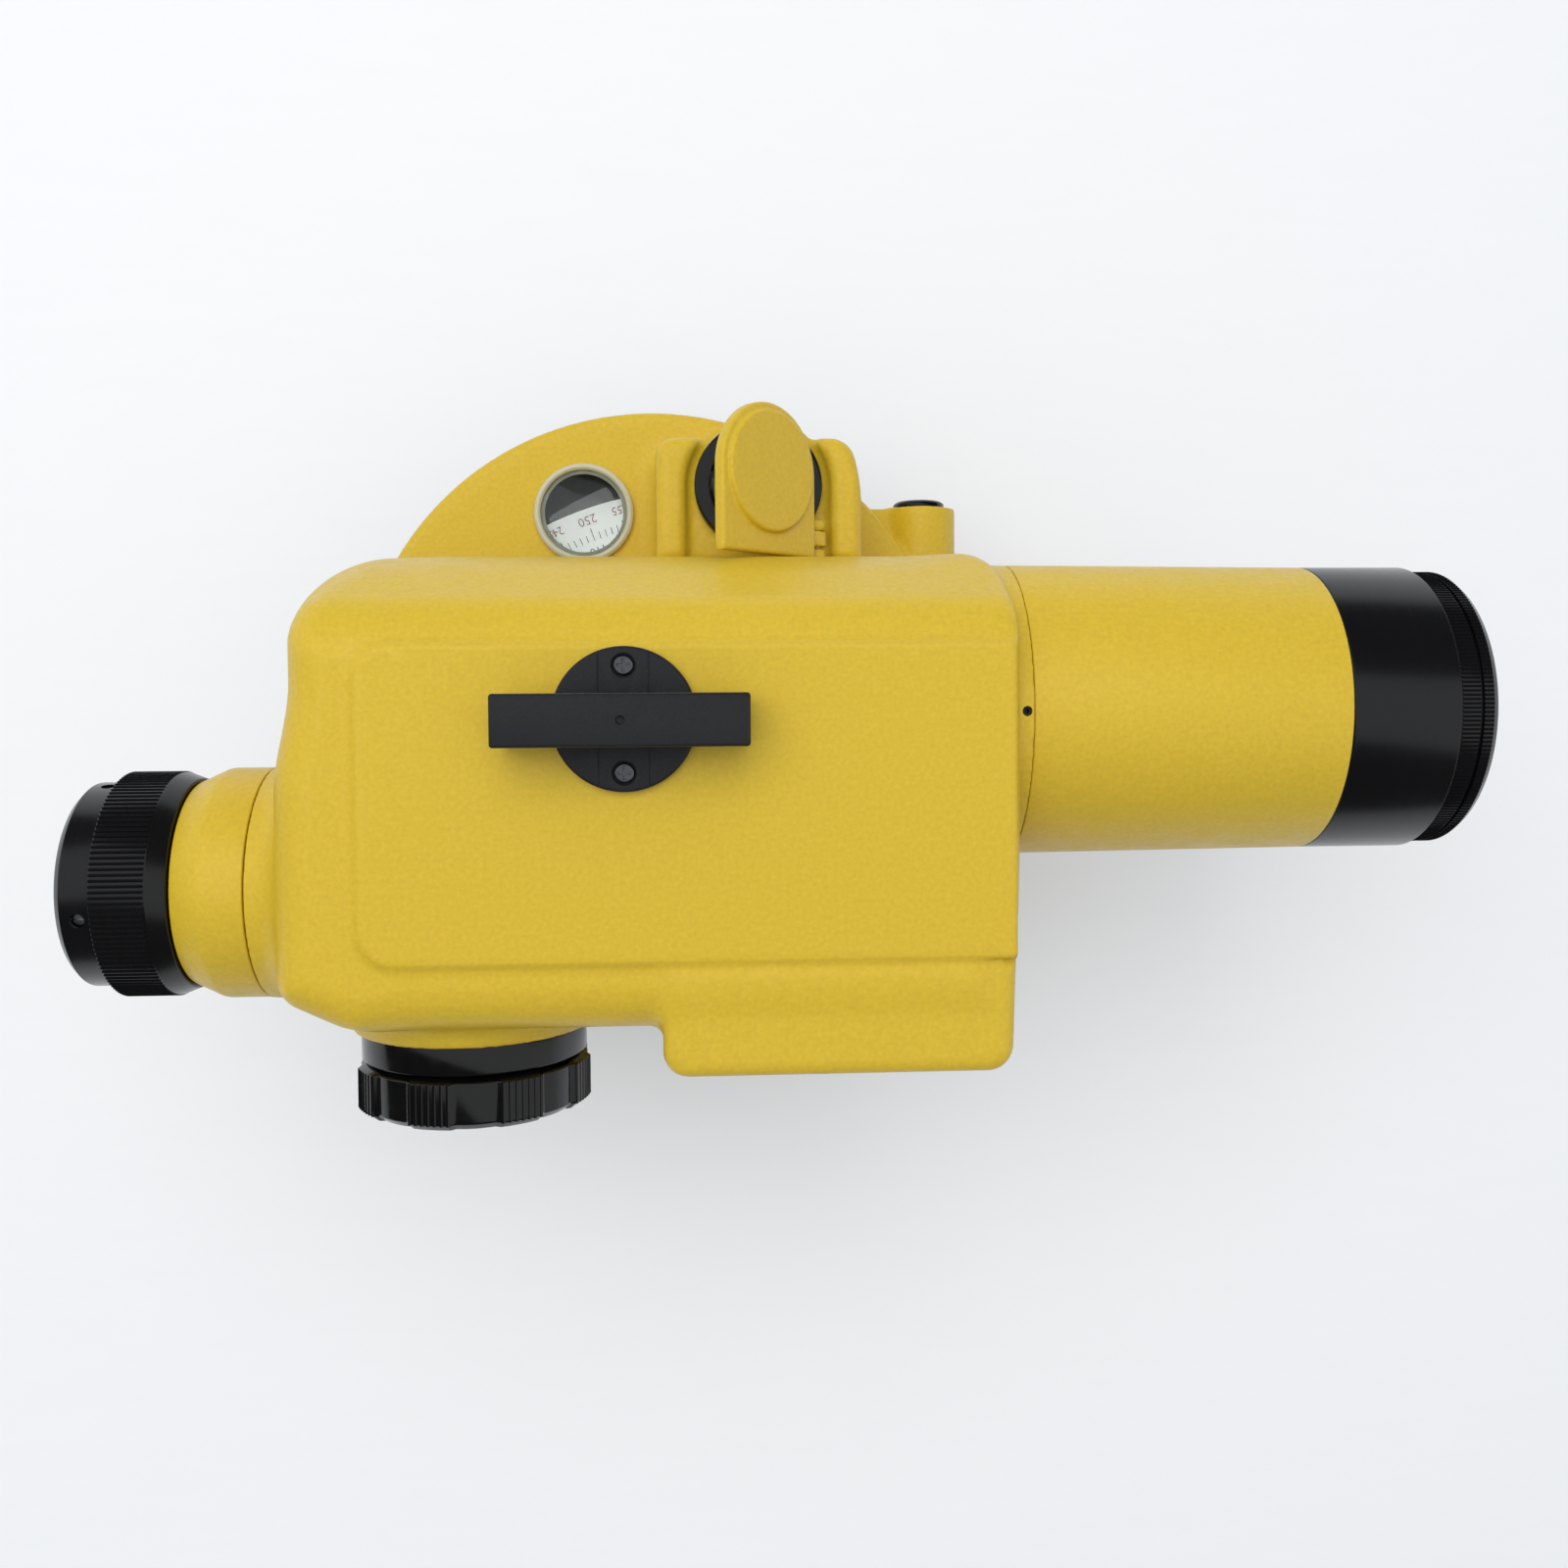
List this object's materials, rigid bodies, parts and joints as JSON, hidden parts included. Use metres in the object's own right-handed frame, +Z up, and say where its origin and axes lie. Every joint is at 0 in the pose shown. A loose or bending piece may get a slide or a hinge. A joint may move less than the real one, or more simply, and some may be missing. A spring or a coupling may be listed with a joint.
{
  "type": "automatic level",
  "caption": "Automatic level with offset eyepiece, circular vial with tilting mirror, peep sight, focusing and tangent drives, rotating base and three foot screws.",
  "frame": {"origin": "centre of the tripod thread in the underside of the base plate, on the vertical axis", "axes": "+X along the line of sight towards the staff, +Y to the observer's left, +Z up"},
  "size_m": [0.2636, 0.1435, 0.152],
  "materials": {
    "yellow_paint": "fine textured",
    "black_anodised": "black anodised, satin",
    "black_gloss": "gloss",
    "black_matt": "fine moulded",
    "black_paint": "satin",
    "steel": "satin",
    "brass": "machined",
    "alloy": "machined",
    "circle_white": "satin",
    "lens": "polished",
    "milky": "translucent",
    "mirror": "polished"
  },
  "bodies": {
    "base": {"base_plate": "black_paint", "spring_plate": "steel", "spring_plate_screws": "steel", "tribrach": "black_paint", "foot_bushes": "brass", "spindle": "steel", "spindle_nut": "brass"},
    "foot_1": {"foot_screw_1": "black_anodised"},
    "foot_2": {"foot_screw_2": "black_anodised"},
    "foot_3": {"foot_screw_3": "black_anodised"},
    "circle": {"circle_carrier": "black_anodised", "horizontal_circle": "circle_white"},
    "friction": {"friction_arm": "steel", "friction_clamp_screw": "steel"},
    "alidade": {"base_housing": "yellow_paint", "loupe_rim": "milky", "loupe_lens": "lens", "vial_housing": "black_anodised", "vial_glass": "lens", "tangent_bush": "brass", "spring_cap": "black_anodised", "plunger_spring": "steel", "main_housing": "yellow_paint", "bottom_cover": "yellow_paint", "cover_screws": "steel", "objective_tube": "yellow_paint", "objective_ring": "black_anodised", "objective_front_ring": "black_anodised", "objective_lens": "lens", "objective_rear_lens": "lens", "tube_lock_screw": "black_anodised", "eyepiece_barrel": "yellow_paint", "reticle_ring": "brass", "reticle_glass": "lens", "guide_rods": "steel", "compensator_frame": "alloy", "fixed_prism": "lens", "suspension_tapes": "steel", "focus_collar": "black_anodised", "peep_sight": "black_matt", "sight_screws": "steel", "mirror_pin": "steel"},
    "tangent_drive": {"tangent_screw": "steel", "tangent_knob": "black_gloss"},
    "nut": {"tangent_nut": "brass"},
    "plunger": {"spring_plunger": "steel"},
    "focus_drive": {"focus_shaft": "steel", "focus_knob": "black_gloss"},
    "carriage": {"focus_carriage": "alloy", "focus_lens": "lens"},
    "pendulum_body": {"pendulum": "brass", "pendulum_prism": "lens"},
    "diopter": {"diopter_ring": "black_anodised", "diopter_screws": "steel"},
    "eye_cell": {"eyepiece_cell": "alloy", "eyepiece_lens": "lens"},
    "mirror": {"mirror_holder": "yellow_paint", "vial_mirror": "mirror"}
  },
  "joints": [
    {"name": "foot_screw_1_turn", "type": "hinge", "parent": "base", "child": "foot_1", "pos_m": [0, 0.046, 0.0062], "axis": [0, 0, 1], "range_deg": [-1800, 1800]},
    {"name": "foot_screw_2_turn", "type": "hinge", "parent": "base", "child": "foot_2", "pos_m": [-0.03984, -0.023, 0.0062], "axis": [0, 0, 1], "range_deg": [-1800, 1800]},
    {"name": "foot_screw_3_turn", "type": "hinge", "parent": "base", "child": "foot_3", "pos_m": [0.03984, -0.023, 0.0062], "axis": [0, 0, 1], "range_deg": [-1800, 1800]},
    {"name": "circle_turn", "type": "hinge", "parent": "base", "child": "circle", "pos_m": [0, 0, 0.04], "axis": [0, 0, 1], "continuous": true},
    {"name": "coarse_turn", "type": "hinge", "parent": "base", "child": "friction", "pos_m": [0, 0, 0.05], "axis": [0, 0, 1], "continuous": true},
    {"name": "slow_motion", "type": "hinge", "parent": "friction", "child": "alidade", "pos_m": [0, 0, 0.06], "axis": [0, 0, 1], "range_deg": [-4.5, 4.5]},
    {"name": "tangent_turn", "type": "hinge", "parent": "alidade", "child": "tangent_drive", "pos_m": [0.062, -0.05, 0.0505], "axis": [0, -1, 0], "range_deg": [-1770, 1770]},
    {"name": "nut_travel", "type": "slide", "parent": "alidade", "child": "nut", "axis": [0, 1, 0], "range_m": [-0.0049, 0.0049]},
    {"name": "plunger_travel", "type": "slide", "parent": "alidade", "child": "plunger", "axis": [0, 1, 0], "range_m": [-0.0049, 0.0049], "deforming": ["plunger_spring"]},
    {"name": "focus_turn", "type": "hinge", "parent": "alidade", "child": "focus_drive", "pos_m": [-0.0345, -0.07, 0.103], "axis": [0, -1, 0], "range_deg": [-190, 190]},
    {"name": "focus_travel", "type": "slide", "parent": "alidade", "child": "carriage", "axis": [1, 0, 0], "range_m": [-0.01, 0.01]},
    {"name": "pendulum_swing", "type": "hinge", "parent": "alidade", "child": "pendulum_body", "pos_m": [0, 0, 0.121], "axis": [0, 1, 0], "range_deg": [-0.3, 0.3]},
    {"name": "diopter_turn", "type": "hinge", "parent": "alidade", "child": "diopter", "pos_m": [-0.096, -0.0323, 0.105], "axis": [1, 0, 0], "range_deg": [-150, 150]},
    {"name": "eye_cell_travel", "type": "slide", "parent": "alidade", "child": "eye_cell", "axis": [1, 0, 0], "range_m": [-0.00151, 0.00151]},
    {"name": "mirror_tilt", "type": "hinge", "parent": "alidade", "child": "mirror", "pos_m": [0.0345, 0.044, 0.09], "axis": [0, 1, 0], "range_deg": [-43, 40]}
  ],
  "couplings": [
    {"joint": "tangent_turn", "follows": "slow_motion", "ratio": -389.56},
    {"joint": "nut_travel", "follows": "slow_motion", "m_per_rad": -0.062},
    {"joint": "plunger_travel", "follows": "slow_motion", "m_per_rad": -0.062},
    {"joint": "focus_travel", "follows": "focus_turn", "m_per_rad": 0.003},
    {"joint": "eye_cell_travel", "follows": "diopter_turn", "m_per_rad": 0.000573}
  ]
}
